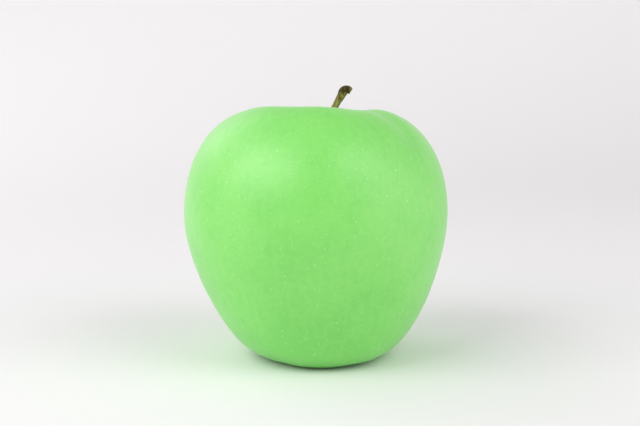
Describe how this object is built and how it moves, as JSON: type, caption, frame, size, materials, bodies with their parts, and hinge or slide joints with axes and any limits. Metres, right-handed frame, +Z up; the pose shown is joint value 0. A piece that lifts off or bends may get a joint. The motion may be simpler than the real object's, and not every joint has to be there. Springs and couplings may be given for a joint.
{
  "type": "green apple",
  "caption": "Whole green apple with uneven lobes, a deep stem cavity, a short woody stem bent to one side and ending in a knob, and a dried calyx in the basin it stands on.",
  "frame": {"origin": "on the surface that the apple stands on, under the middle of its box", "axes": "+Z up along the core, -Y the side that the picture shows, +X the side that the stem bends to"},
  "size_m": [0.0796, 0.08, 0.0822],
  "materials": {
    "skin": "waxy satin apple skin with fine pale dots",
    "stem": "dry ridged stalk, olive with a dark brown end",
    "calyx": "matt, dry and papery"
  },
  "bodies": {
    "root": {"fruit": "skin", "stem": "stem", "calyx": "calyx"}
  },
  "joints": []
}
